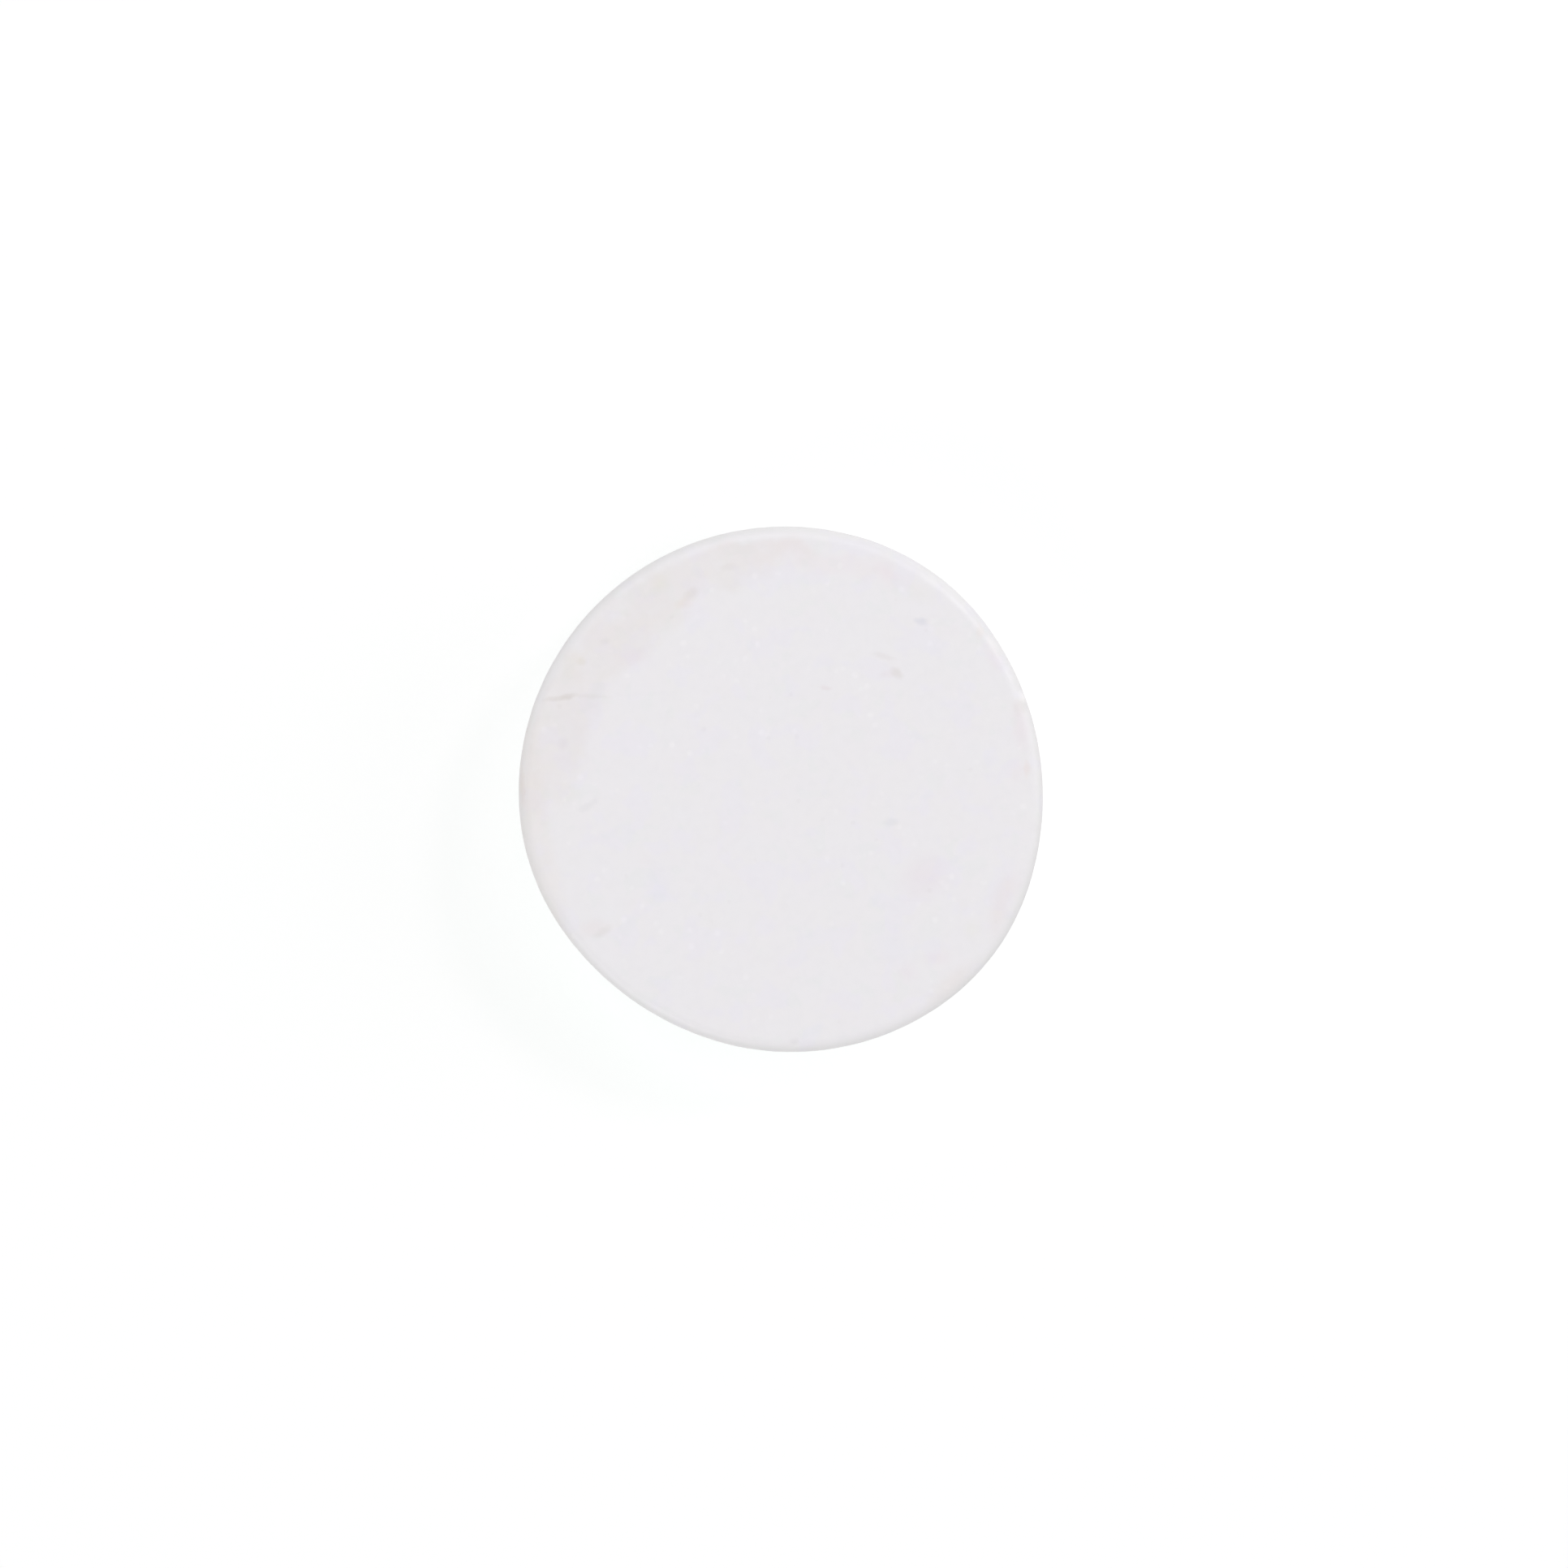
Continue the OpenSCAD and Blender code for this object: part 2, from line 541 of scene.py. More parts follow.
@dataclass(frozen=True)
class CoatFinish:
    """The white coat: a slightly uneven satin film, with a warm stain by one side, painted shade
    round the rim and below it, and a few painted highlights on the upper edge.

    Attributes:
        white: The coat's colour, as linear red, green and blue.
        drift: How its hue drifts from place to place.
        lilac_patches: Where its faint lilac patches lie.
        lilac: What they do to the colour.
        green_patches: Where its few faint green patches lie.
        green: What they do to the colour.
        grain: Where its fine grain is darker.
        grain_tint: What the grain does to the colour.
        dots: Its fine light dots.
        dot_areas: The patches in which the light dots lie.
        dot_tint: What the light dots do to the colour.
        aside_mm: Shift that keeps the green patches and the dots apart from the lilac patches.
        edge_band: Where the colour of the rounded edges and the side sets in.
        edge_tint: That colour, as what it does to the coat's.
        rim_shade_band: Where the painted shade round the rim sets in, part-way down the rounded
            edge, and from there over the side wall and the lower face.
        rim_painted_shade: Painted shade that darkens the outer rounded edge and all below it: what
            it does to the colour.
        stain_stir: What makes the stains' outlines uneven.
        stain_drift: How the brown stain's hue drifts from place to place.
        stain_patches: Where the stains are stronger.
        stain_least: How much of the stains there is where they are weaker.
        wall_band: Where on the side wall the stains set in.
        worn_band: Where on the rounded edge the stains haven't been rubbed off.
        worn_least: How much of them is left there.
        stain_middle_mm: Middle of the round area outside which the stains have been rubbed off.
        stain_reach_mm: Distances from there over which the stains fade out.
        mark_stir: What makes the marks' outlines uneven.
        dust_stir: What makes the dust specks' outlines uneven.
        dust_specks: The faint dust specks.
        dust: What they do to the colour.
        roughness: How matt the film is.
        roughness_range: By how much that varies from place to place.
        sheen: The noise by which it varies.
        bump_mm: Height of the film's fine unevenness.
        bump_strength: How strongly that shows.
        ripple: The noise of the film's ripple.
        tooth: The noise of the film's finer tooth.
        tooth_part: How high the tooth is beside the ripple.
        ior: The film's index of refraction.
    """

    white: Colour = (0.8428, 0.8243, 0.8472)
    drift: HueDrift = HueDrift(0.75, (0.004, 0.003, 0.006))
    lilac_patches: Patches = Patches(0.8, 2.0, 0.52, 0.62)
    lilac: Colour = (0.993, 0.991, 1.014)
    green_patches: Patches = Patches(1.3, 1.0, 0.60, 0.68)
    green: Colour = (0.987, 0.997, 0.991)
    grain: Patches = Patches(2.4, 3.0, 0.40, 0.70)
    grain_tint: Colour = (0.989, 0.989, 0.990)
    dots: Dots = Dots(1.9, 0.34, 0.10)
    dot_areas: Patches = Patches(0.9, 3.0, 0.51, 0.66)
    dot_tint: Colour = (1.031, 1.031, 1.029)
    aside_mm: Place = (31.0, 17.0, 0.0)
    edge_band: Band = Band(0.01, 0.15)
    edge_tint: Colour = (0.998, 1.003, 0.990)
    rim_shade_band: Band = Band(0.10, 0.45)
    rim_painted_shade: Colour = (0.945, 0.942, 0.935)
    stain_stir: Stir = Stir(0.75, 0.9)
    stain_drift: HueDrift = HueDrift(1.3, (0.003, 0.004, 0.010))
    stain_patches: Patches = Patches(1.0, 3.0, 0.32, 0.50, 0.35)
    stain_least: float = 0.65
    wall_band: Band = Band(2.0, 0.5)
    worn_band: Band = Band(0.12, 0.01, 0.8)
    worn_least: float = 0.2
    stain_middle_mm: Place = (-0.4, -0.1, 0.0)
    stain_reach_mm: Span = (9.25, 9.75)
    mark_stir: Stir = Stir(3.5, 0.09)
    dust_stir: Stir = Stir(5.0, 0.06)
    dust_specks: Dots = Dots(0.8, 0.10, 0.04)
    dust: Colour = (0.976, 0.973, 0.972)
    roughness: float = 0.42
    roughness_range: float = 0.16
    sheen: NoiseKind = (0.9, 4.0)
    bump_mm: float = 0.004
    bump_strength: float = 0.6
    ripple: NoiseKind = (1.6, 2.0)
    tooth: NoiseKind = (9.0, 3.0)
    tooth_part: float = 0.25
    ior: float = 1.5

    def material(self, face_mm: float) -> bpy.types.Material:
        """Builds the coat's material.

        Args:
            face_mm: Height of the upper pole face.

        Returns:
            The material.
        """
        material = bpy.data.materials.new("white_coat")
        material.use_nodes = True
        sketch = NodeSketch(material.node_tree)
        place = sketch.add("ShaderNodeTexCoord").outputs["Object"]
        scaled = sketch.add("ShaderNodeMapping")
        sketch.feed(scaled.inputs["Vector"], place)
        scaled.inputs["Scale"].default_value = (1 / MM, 1 / MM, 1 / MM)
        here = scaled.outputs["Vector"]
        height = sketch.height(here)

        colour = self.clouds(sketch, here)
        colour = sketch.lay(colour, self.edge_tint, self.edge_band.mask(sketch, height, face_mm))
        # Painted shade: the outer rounded edge, the side wall and the lower face are darkened,
        # standing in for the dark ring of shade at the rim.
        colour = sketch.lay(colour, self.rim_painted_shade, self.rim_shade_band.mask(sketch, height, face_mm))
        colour = self.stains(sketch, here, colour, height, face_mm)
        colour = self.marks(sketch, here, colour, face_mm)
        dust = self.dust_specks.mask(sketch, self.dust_stir.shift(sketch, here))
        colour = sketch.lay(colour, self.dust, dust)

        shader = sketch.add("ShaderNodeBsdfPrincipled")
        sketch.feed(shader.inputs["Base Color"], colour)
        sketch.feed(shader.inputs["Roughness"], self.gloss(sketch, here))
        shader.inputs["IOR"].default_value = self.ior
        sketch.feed(shader.inputs["Normal"], self.film(sketch, here))
        output = sketch.add("ShaderNodeOutputMaterial")
        sketch.feed(output.inputs["Surface"], shader.outputs["BSDF"])
        return material

    def clouds(self, sketch: NodeSketch, here: Socket) -> Socket:
        """Gives the coat its white, with faint patches of hue, a fine grain and light dots in it.

        Args:
            sketch: The coat's shader tree.
            here: Coordinates in mm.

        Returns:
            The coat's colour so far.
        """
        aside = sketch.vector(Sum.ADD, here, self.aside_mm)
        colour = sketch.vector(Sum.MULTIPLY, self.drift.tint(sketch, here), self.white)
        colour = sketch.lay(colour, self.lilac, self.lilac_patches.mask(sketch, here))
        colour = sketch.lay(colour, self.green, self.green_patches.mask(sketch, aside))
        colour = sketch.lay(colour, self.grain_tint, self.grain.mask(sketch, here))
        some = self.dot_areas.mask(sketch, aside)
        dots = sketch.math(Sum.MULTIPLY, self.dots.mask(sketch, here), some)
        return sketch.lay(colour, self.dot_tint, dots)

    def stains(
        self, sketch: NodeSketch, here: Socket, colour: Socket, height: Socket, face_mm: float
    ) -> Socket:
        """Adds the stains that follow the rim: the brown and the pink one, and the yellow rim.

        Args:
            sketch: The coat's shader tree.
            here: Coordinates in mm.
            colour: The coat's colour so far.
            height: A place's height in mm.
            face_mm: Height of the upper pole face.

        Returns:
            The colour with this layer.
        """
        stirred = self.stain_stir.shift(sketch, here)
        above = self.wall_band.mask(sketch, height, face_mm)
        patches = self.stain_patches.mask(sketch, here)
        patches = sketch.math(Sum.MULTIPLY, sketch.math(Sum.ADD, patches, self.stain_least), above)
        worn = self.worn_band.mask(sketch, height, face_mm)
        worn = sketch.math(Sum.ADD, worn, self.worn_least)
        off_middle = sketch.vector(Sum.SUBTRACT, stirred, self.stain_middle_mm)
        flat = sketch.vector(Sum.MULTIPLY, off_middle, LEVEL)
        near_mm, far_mm = self.stain_reach_mm
        inside = sketch.fade(sketch.length(flat), far_mm, near_mm)
        rubbed = sketch.math(Sum.MULTIPLY, sketch.math(Sum.MULTIPLY, patches, worn), inside)

        hue = sketch.vector(Sum.MULTIPLY, self.stain_drift.tint(sketch, here), BROWN_STAIN.tint)
        brown = sketch.math(Sum.MULTIPLY, BROWN_STAIN.mask(sketch, stirred), rubbed)
        colour = sketch.lay(colour, hue, brown)
        pink = sketch.math(Sum.MULTIPLY, PINK_STAIN.mask(sketch, stirred), rubbed)
        colour = sketch.lay(colour, PINK_STAIN.tint, pink)
        yellow = sketch.math(Sum.MULTIPLY, YELLOW_RIM.mask(sketch, here), patches)
        return sketch.lay(colour, YELLOW_RIM.tint, yellow)

    def marks(self, sketch: NodeSketch, here: Socket, colour: Socket, face_mm: float) -> Socket:
        """Adds each mark of the upper face, the painted highlights among them.

        Args:
            sketch: The coat's shader tree.
            here: Coordinates in mm.
            colour: The coat's colour so far.
            face_mm: Height of the upper pole face.

        Returns:
            The colour with this layer.
        """
        stirred = self.mark_stir.shift(sketch, here)
        for mark in MARKS.values():
            colour = sketch.lay(colour, mark.tint, mark.mask(sketch, stirred, face_mm))
        return colour

    def gloss(self, sketch: NodeSketch, here: Socket) -> Socket:
        """Varies the film's gloss a little from place to place.

        Args:
            sketch: The coat's shader tree.
            here: Coordinates in mm.

        Returns:
            The roughness.
        """
        drift = sketch.math(Sum.SUBTRACT, sketch.noise(here, *self.sheen), MIDDLE)
        drift = sketch.math(Sum.MULTIPLY, drift, self.roughness_range)
        return sketch.math(Sum.ADD, drift, self.roughness)

    def film(self, sketch: NodeSketch, here: Socket) -> Socket:
        """Gives the film the faint ripple and tooth of a cured coat.

        Args:
            sketch: The coat's shader tree.
            here: Coordinates in mm.

        Returns:
            The shading normal.
        """
        ripple = sketch.noise(here, *self.ripple)
        tooth = sketch.math(Sum.MULTIPLY, sketch.noise(here, *self.tooth), self.tooth_part)
        bump = sketch.add("ShaderNodeBump")
        bump.inputs["Strength"].default_value = self.bump_strength
        bump.inputs["Distance"].default_value = self.bump_mm * MM
        sketch.feed(bump.inputs["Height"], sketch.math(Sum.ADD, ripple, tooth))
        return bump.outputs["Normal"]


@dataclass(frozen=True)
class RimArc:
    """One arc of the rim.

    Attributes:
        start: Direction in which it starts, in degrees from the first quarter's start.
        radius_mm: Its radius.
        centre_mm: Its centre, from the first arc's centre.
    """

    start: float
    radius_mm: float
    centre_mm: Vector


@dataclass
class UnevenRim:
    """The rim's outline: a closed run of arcs, each tangent to the next, two to a quarter.

    Attributes:
        diameter_mm: The diameter that a tape round the rim would give.
        first_quarter_from: Direction in which the first quarter starts, in degrees.
        steps_mm: How much tighter the rim gets part-way round each quarter.
        meets: Direction, in its own quarter, in which each quarter's two arcs meet.
    """

    diameter_mm: float = 20.0
    first_quarter_from: float = 35.0
    steps_mm: tuple[float, ...] = (-1.0, 1.05, 1.1, -2.3)
    meets: tuple[Span, ...] = ((0.8, 0.6), (0.6, 0.8), (0.8, 0.6), (0.8, 0.6))
    arcs: list[RimArc] = field(init=False)

    def __post_init__(self) -> None:
        """Works out the arcs."""
        starts = []
        for quarter, meet in enumerate(self.meets):
            starts.append(90.0 * quarter)
            starts.append(90.0 * quarter + math.degrees(math.atan2(meet[1], meet[0])))
        turns = [(starts + [360.0])[i + 1] - start for i, start in enumerate(starts)]
        inner = [step * self.unit(starts[2 * i + 1]) for i, step in enumerate(self.steps_mm)]
        move = sum(inner, Vector((0.0, 0.0)))
        left = -sum(self.steps_mm) - move.y
        at_quarters = ((left - move.x) / 2, 0.0, (left + move.x) / 2, move.y)
        steps = [step for pair in zip(at_quarters, self.steps_mm) for step in pair]

        extra, centre, run = 0.0, Vector((0.0, 0.0)), []
        for i, start in enumerate(starts):
            if i > 0:
                extra -= steps[i]
                centre = centre + steps[i] * self.unit(start)
            run.append((start, extra, centre))
        mean_extra = sum(extra * turn for (_, extra, _), turn in zip(run, turns)) / 360
        first = self.diameter_mm / 2 - round(mean_extra, 2)
        self.arcs = [RimArc(start, first + extra, centre) for start, extra, centre in run]

    @staticmethod
    def unit(degrees: float) -> Vector:
        """Gives the unit vector in a direction."""
        return Vector((math.cos(math.radians(degrees)), math.sin(math.radians(degrees))))

    def off_first_centre(self, degrees: float) -> Vector:
        """Gives the rim's point where its outside faces a direction.

        Args:
            degrees: The direction, anticlockwise from +X.

        Returns:
            The point in millimetres, from the first arc's centre, turned into place.
        """
        turned = (degrees - self.first_quarter_from) % 360
        arc = [arc for arc in self.arcs if arc.start <= turned][-1]
        point = arc.centre_mm + arc.radius_mm * self.unit(turned)
        along, across = self.unit(self.first_quarter_from), self.unit(self.first_quarter_from + 90)
        return point.x * along + point.y * across

    def middle(self) -> Vector:
        """Gives the middle of the outline's width and depth, from the first arc's centre."""
        wide = self.off_first_centre(0).x + self.off_first_centre(180).x
        deep = self.off_first_centre(90).y + self.off_first_centre(270).y
        return Vector((wide, deep)) / 2

    def width_mm(self) -> float:
        """Gives the outline's width along X."""
        return self.off_first_centre(0).x - self.off_first_centre(180).x

    def points(self, count: int, width: float) -> list[Vector]:
        """Gives points round the outline, each where the rim faces the next of even directions.

        Args:
            count: How many points there are.
            width: Width of the outline along X, in metres.

        Returns:
            The points in metres, from the outline's middle.
        """
        middle, scale = self.middle(), width / self.width_mm()
        facing = [360.0 * i / count for i in range(count)]
        return [(self.off_first_centre(degrees) - middle) * scale for degrees in facing]


@dataclass(frozen=True)
class Nick:
    """A small dent in the rounded edge.

    Attributes:
        x_mm: Its place to the right of the disc's middle.
        y_mm: Its place above the disc's middle, as seen from over it.
        across_mm: Its width.
        deep_mm: Its depth.
        below_mm: How far its middle lies below the upper face.
        inward: How far it is pressed inward, as a part of its depth.
    """

    x_mm: float
    y_mm: float
    across_mm: float
    deep_mm: float
    below_mm: float = 0.1
    inward: float = 0.5

    def press(self, bm: bmesh.types.BMesh, face_z: float) -> None:
        """Presses the dent into a mesh.

        Args:
            bm: The disc's mesh, with its rounded edges made.
            face_z: Height of the upper pole face.
        """
        centre = Vector((self.x_mm, self.y_mm, 0.0)) * MM
        to_middle = -centre.xy.normalized()
        centre.z = face_z - self.below_mm * MM
        for vertex in bm.verts:
            near = (vertex.co - centre).length / (self.across_mm * MM / 2)
            depth = self.deep_mm * MM * math.exp(-near * near)
            vertex.co.z -= depth
            vertex.co.xy += to_middle * depth * self.inward


@dataclass
class MagnetDisc:
    """The one piece: a coated disc with rounded edges and an uneven rim.

    Attributes:
        rim: Its outline.
        edge_mm: Radius of its rounded edges.
        nicks: Dents in its upper edge.
        finish: The coat that it is dressed in.
        rim_points: Points round the outline.
        edge_steps: Facets across each rounded edge.
        wall_rows: Rows of faces up the side wall.
        face_rings_mm: Widths of the rings that each pole face starts with, from the rim in.
        ripple_mm: How far the coat sinks at most where it is thinner, round the upper edge.
        ripples_per_mm: Ripples there for each millimetre.
        ripples_from_up: How far up the disc, as a part of its thickness, the ripples set in.
        ripples_from_mm: How far out they set in on the upper face.
        ripples_over_mm: Over how much further out they reach their full depth.
    """

    rim: UnevenRim = field(default_factory=UnevenRim)
    edge_mm: float = 0.5
    nicks: tuple[Nick, ...] = (Nick(9.28, 3.16, 0.50, 0.05), Nick(0.50, -9.70, 0.34, 0.03))
    finish: CoatFinish = field(default_factory=CoatFinish)
    rim_points: int = 960
    edge_steps: int = 12
    wall_rows: int = 8
    face_rings_mm: tuple[float, ...] = (0.03, 0.12, 0.15, 0.2, 0.25, 0.3, 0.5, 1.0, 2.0, 3.0)
    ripple_mm: float = 0.02
    ripples_per_mm: float = 1.6
    ripples_from_up: float = 0.2
    ripples_from_mm: float = 8.2
    ripples_over_mm: float = 1.1

    def build(self) -> bpy.types.Object:
        """Models the disc and dresses it.

        Returns:
            The finished piece.
        """
        low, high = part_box(NODE)
        bm = bmesh.new()
        self.make_blank(bm, low, high)
        self.round_edges(bm)
        self.divide_wall(bm)
        self.ring_faces(bm)
        self.ripple_edge(bm, high.z)
        for nick in self.nicks:
            nick.press(bm, high.z)
        bmesh.ops.recalc_face_normals(bm, faces=bm.faces)
        self.put_in_order(bm)
        for face in bm.faces:
            face.smooth = True
        mesh = bpy.data.meshes.new(PIECE)
        bm.to_mesh(mesh)
        bm.free()
        mesh.materials.append(self.finish.material(high.z / MM))
        return put_in_scene(PIECE, mesh)

    def make_blank(self, bm: bmesh.types.BMesh, low: Vector, high: Vector) -> None:
        """Makes the disc with sharp edges.

        Args:
            bm: The mesh to fill.
            low: Lowest corner of the space that it fills.
            high: Highest corner of that space.
        """
        circle = bmesh.ops.create_circle(bm, cap_ends=True, segments=self.rim_points, radius=1.0)
        outline = self.rim.points(self.rim_points, high.x - low.x)
        for vertex, point in zip(circle["verts"], outline):
            vertex.co = (*point, low.z)
        raised = bmesh.ops.extrude_face_region(bm, geom=list(bm.faces))["geom"]
        upper = [part for part in raised if isinstance(part, bmesh.types.BMVert)]
        bmesh.ops.translate(bm, verts=upper, vec=(0.0, 0.0, high.z - low.z))
        bmesh.ops.recalc_face_normals(bm, faces=bm.faces)

    def round_edges(self, bm: bmesh.types.BMesh) -> None:
        """Rounds the edges between the side wall and both pole faces."""
        sharp = [edge for edge in bm.edges if edge.calc_face_angle() > SHARP]
        bmesh.ops.bevel(
            bm,
            geom=sharp,
            offset=self.edge_mm * MM,
            offset_type="OFFSET",
            segments=self.edge_steps,
            profile=0.5,
            affect="EDGES",
            clamp_overlap=False,
            material=-1,
        )

    def divide_wall(self, bm: bmesh.types.BMesh) -> None:
        """Cuts the side wall into rows."""
        upright = [e for e in bm.edges if abs(e.verts[0].co.z - e.verts[1].co.z) > TALL]
        bmesh.ops.subdivide_edges(bm, edges=upright, cuts=self.wall_rows - 1, use_grid_fill=True)

    def ring_faces(self, bm: bmesh.types.BMesh) -> None:
        """Sets rings into both pole faces. The first, narrow ones keep them flat up to the rim."""
        faces = [face for face in bm.faces if len(face.verts) == self.rim_points]
        for width in self.face_rings_mm:
            bmesh.ops.inset_region(bm, faces=faces, thickness=width * MM, use_even_offset=True)

    def ripple_edge(self, bm: bmesh.types.BMesh, face_z: float) -> None:
        """Sinks the coat a little here and there on the side wall and round the upper edge.

        Args:
            bm: The disc's mesh, with its rounded edges made.
            face_z: Height of the upper pole face.
        """
        bm.normal_update()
        for vertex in bm.verts:
            up_wall = min(1.0, max(0.0, vertex.co.z / face_z - self.ripples_from_up))
            out = (vertex.co.xy.length / MM - self.ripples_from_mm) / self.ripples_over_mm
            out = min(1.0, max(0.0, out))
            swell = 0.5 + 0.5 * noise.noise(vertex.co / MM * self.ripples_per_mm)
            vertex.co -= vertex.normal * (self.ripple_mm * MM * swell * up_wall * out)

    def put_in_order(self, bm: bmesh.types.BMesh) -> None:
        """Sorts edges and faces by their points, because their order differs from run to run.

        Args:
            bm: The disc's mesh, with all its points in place.
        """
        bm.verts.index_update()
        count = len(bm.verts)

        def rank(part: Union[bmesh.types.BMEdge, bmesh.types.BMFace]) -> float:
            """Ranks an edge or a face by its first points."""
            total = 0
            for index in sorted(vertex.index for vertex in part.verts)[:3]:
                total = total * count + index
            return float(total)

        bm.edges.sort(key=rank)
        bm.faces.sort(key=rank)


@dataclass(frozen=True)
class SoftLamp:
    """A round soft lamp that faces the disc.

    Attributes:
        name: Its name.
        azimuth: Direction that it stands in, in degrees anticlockwise from +X.
        elevation: Its height above the horizon, in degrees.
        share: Its part of the light on a level white surface, where 1 is all of it.
        across: Its diameter, in metres.
        away: Its distance, in metres.
    """

    name: str
    azimuth: float
    elevation: float
    share: float
    across: float
    away: float = 0.6

    def build(self) -> bpy.types.Object:
        """Makes the lamp.

        Returns:
            The lamp's object.
        """
        round_about, up = math.radians(self.azimuth), math.radians(self.elevation)
        towards = Vector(
            (
                math.cos(round_about) * math.cos(up),
                math.sin(round_about) * math.cos(up),
                math.sin(up),
            )
        )
        data = bpy.data.lights.new(self.name, "AREA")
        data.shape = "DISK"
        data.size = self.across
        data.energy = self.share * (math.pi * self.away) ** 2 / math.sin(up)
        lamp = put_in_scene(self.name, data)
        lamp.location = towards * self.away
        lamp.rotation_euler = towards.to_track_quat("Z", "Y").to_euler()
        return lamp


@dataclass
class Studio:
    """The white table, the light and the camera.

    Attributes:
        frame_px: Side of the photograph's frame.
        disc_px: Place of the disc's middle in that frame, from its left and top.
        disc_wide_px: Width of the disc there.
        lens_mm: Focal length, long enough to look nearly straight down everywhere.
        table_side: Half of the table's side, in metres.
        table_cells: Faces along each of its sides.
        sky: The part of the light that comes evenly from all round.
        table_white: How light the table is to the lamps and the disc.
        table_shade: How strongly the table shows shadows to the camera, in each colour.
        table_glow: What the camera sees of the table besides.
        edge_glow: Painted light: how much more of it there is beside the disc, where the lamps'
            shadows overlap, which lifts those shadows.
        edge_glow_at_mm: The middle of that area.
        edge_glow_mm: Distances from there over which it fades out.
        edge_glow_fall: How quickly it does so.
        far_glow: Painted light: how much more of it there is on the disc's upper right side, which
            lifts a faint lamp shadow there.
        far_glow_faces: The direction of that side, in degrees anticlockwise from +X.
        far_glow_mm: Distances in that direction over which it sets in.
        table_gap_mm: How far the table lies under the disc, so that their faces don't coincide.
        lamps: The lamps.
    """

    frame_px: float = 1932.0
    disc_px: Span = (962.0, 972.5)
    disc_wide_px: float = 648.0
    lens_mm: float = 120.0
    table_side: float = 3.0
    table_cells: int = 8
    sky: float = 0.519
    table_white: float = 0.85
    table_shade: Colour = (0.35, 0.27, 0.31)
    table_glow: Colour = (0.664, 0.744, 0.704)
    edge_glow: float = 0.08
    edge_glow_at_mm: Span = (0.8, -2.3)
    edge_glow_mm: Span = (9.5, 15.5)
    edge_glow_fall: float = 2.5
    far_glow: float = 0.02
    far_glow_faces: float = 45.0
    far_glow_mm: Span = (0.0, 12.0)
    table_gap_mm: float = 0.01
    lamps: tuple[SoftLamp, ...] = (
        SoftLamp("key_lamp", 38.0, 46.0, 0.096, 0.126),
        SoftLamp("upper_lamp", 97.0, 50.0, 0.224, 0.534),
        SoftLamp("lower_left_lamp", 236.0, 27.0, 0.125, 0.39),
        SoftLamp("right_lamp", 10.0, 23.0, 0.064, 0.39),
    )

    def build(self) -> None:
        """Sets up the whole studio."""
        self.lay_table()
        self.light_world()
        for lamp in self.lamps:
            lamp.build()
            LOG.info("lamp %s stands at %.0f degrees", lamp.name, lamp.azimuth)
        self.place_camera()
        bpy.context.scene.view_settings.view_transform = "Standard"

    def seen(self, sketch: NodeSketch) -> Socket:
        """Tells rays that show the background from those that light the disc.

        Args:
            sketch: The shader tree that needs it.

        Returns:
            1 for camera, mirror and see-through rays, and 0 for all others.
        """
        rays = sketch.add("ShaderNodeLightPath").outputs
        glossy = sketch.math(Sum.ADD, rays["Is Glossy Ray"], rays["Is Transmission Ray"])
        return sketch.math(Sum.ADD, rays["Is Camera Ray"], glossy, clamp=True)

    def lay_table(self) -> None:
        """Lays a wide white table under the disc."""
        cells = self.table_cells
        bm = bmesh.new()
        bmesh.ops.create_grid(bm, x_segments=cells, y_segments=cells, size=self.table_side)
        mesh = bpy.data.meshes.new("table")
        bm.to_mesh(mesh)
        bm.free()
        mesh.materials.append(self.table_material())
        table = put_in_scene("table", mesh)
        table.location.z = -self.table_gap_mm * MM

    def table_material(self) -> bpy.types.Material:
        """Builds the table's white, which shows the photograph's faint shadow to the camera.

        Returns:
            The material.
        """
        material = bpy.data.materials.new("white_table")
        material.use_nodes = True
        sketch = NodeSketch(material.node_tree)
        lit = sketch.add("ShaderNodeBsdfDiffuse")
        lit.inputs["Color"].default_value = (self.table_white,) * 3 + (1.0,)
        shown = sketch.add("ShaderNodeBsdfDiffuse")
        shown.inputs["Color"].default_value = (*self.table_shade, 1.0)
        glow = sketch.add("ShaderNodeEmission")
        sketch.feed(glow.inputs["Color"], self.glow_colour(sketch))
        both = sketch.add("ShaderNodeAddShader")
        sketch.feed(both.inputs[0], shown.outputs["BSDF"])
        sketch.feed(both.inputs[1], glow.outputs["Emission"])
        choose = sketch.add("ShaderNodeMixShader")
        sketch.feed(choose.inputs[0], self.seen(sketch))
        sketch.feed(choose.inputs[1], lit.outputs["BSDF"])
        sketch.feed(choose.inputs[2], both.outputs["Shader"])
        output = sketch.add("ShaderNodeOutputMaterial")
        sketch.feed(output.inputs["Surface"], choose.outputs["Shader"])
        return material

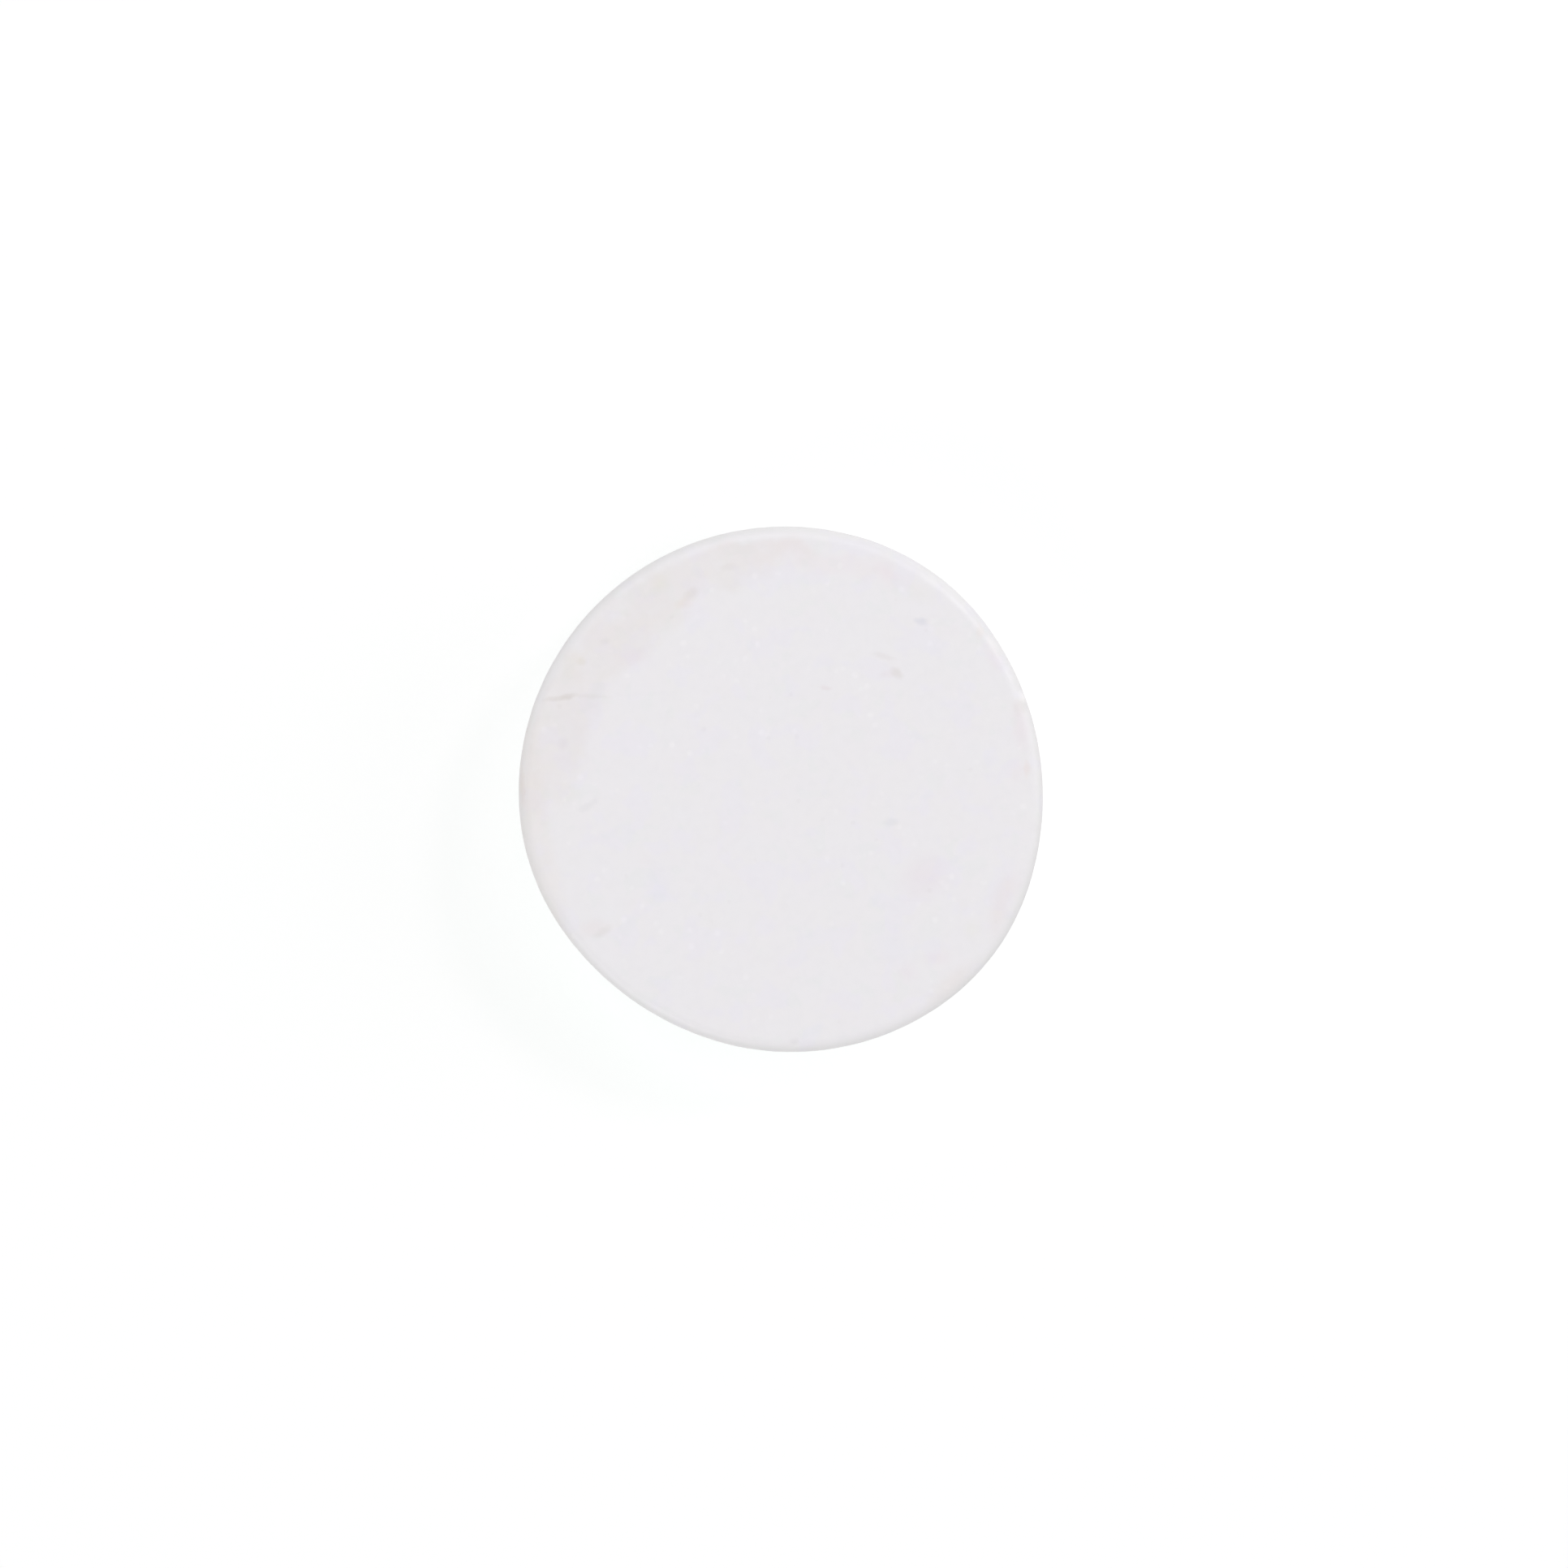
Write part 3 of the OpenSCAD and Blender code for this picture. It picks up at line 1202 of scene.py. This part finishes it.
    def glow_colour(self, sketch: NodeSketch) -> Socket:
        """Works out what the camera sees of the table besides its shadows, with painted light
        beside the disc and on its upper right that lifts those shadows.

        Args:
            sketch: The table's shader tree.

        Returns:
            The glow's colour.
        """
        place = sketch.add("ShaderNodeTexCoord").outputs["Object"]
        right_mm, up_mm = self.edge_glow_at_mm
        near_mm, far_mm = self.edge_glow_mm
        offset = sketch.vector(Sum.SUBTRACT, place, (right_mm * MM, up_mm * MM, 0.0))
        beside = sketch.add("ShaderNodeMapRange")
        sketch.feed(beside.inputs["Value"], sketch.length(offset))
        beside.inputs["From Min"].default_value = far_mm * MM
        beside.inputs["From Max"].default_value = near_mm * MM
        # Painted light: extra glow beside the disc and on its upper right, which lifts the lamps'
        # shadows and the ambient shade there.
        extra = sketch.math(Sum.POWER, beside.outputs["Result"], self.edge_glow_fall)
        extra = sketch.math(Sum.MULTIPLY, extra, self.edge_glow)
        start_mm, full_mm = self.far_glow_mm
        far = sketch.reach(place, self.far_glow_faces)
        far = sketch.fade(far, start_mm * MM, full_mm * MM, self.far_glow)
        return sketch.vector(Sum.ADD, sketch.math(Sum.ADD, extra, far), self.table_glow)

    def light_world(self) -> None:
        """Lights the disc evenly from all round, and shows white behind it."""
        world = bpy.data.worlds.new("white_room")
        bpy.context.scene.world = world
        world.use_nodes = True
        sketch = NodeSketch(world.node_tree)
        strength = sketch.fade(self.seen(sketch), 0.0, 1.0, 1.0 - self.sky)
        background = sketch.add("ShaderNodeBackground")
        background.inputs["Color"].default_value = (1.0, 1.0, 1.0, 1.0)
        sketch.feed(background.inputs["Strength"], sketch.math(Sum.ADD, strength, self.sky))
        output = sketch.add("ShaderNodeOutputWorld")
        sketch.feed(output.inputs["Surface"], background.outputs[0])

    def place_camera(self) -> None:
        """Puts the camera over the disc, so that it fills the photograph's part of the frame."""
        low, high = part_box(NODE)
        px = (high.x - low.x) / self.disc_wide_px
        data = bpy.data.cameras.new("camera")
        data.lens = self.lens_mm
        data.clip_start = 1 * MM
        camera = put_in_scene("camera", data)
        right = (self.frame_px / 2 - self.disc_px[0]) * px
        up = (self.disc_px[1] - self.frame_px / 2) * px
        height = self.frame_px * px * self.lens_mm / data.sensor_width
        camera.location = (right, up, high.z + height)
        bpy.context.scene.camera = camera


def main() -> None:
    """Builds the disc and its studio."""
    logging.basicConfig(level=logging.INFO, format="%(name)s: %(message)s")
    disc = MagnetDisc().build()
    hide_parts(NODE)
    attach(disc, BODY)
    LOG.info("piece %s has %d faces and rides on %s", disc.name, len(disc.data.polygons), BODY)
    Studio().build()


if __name__ == "__main__":
    main()
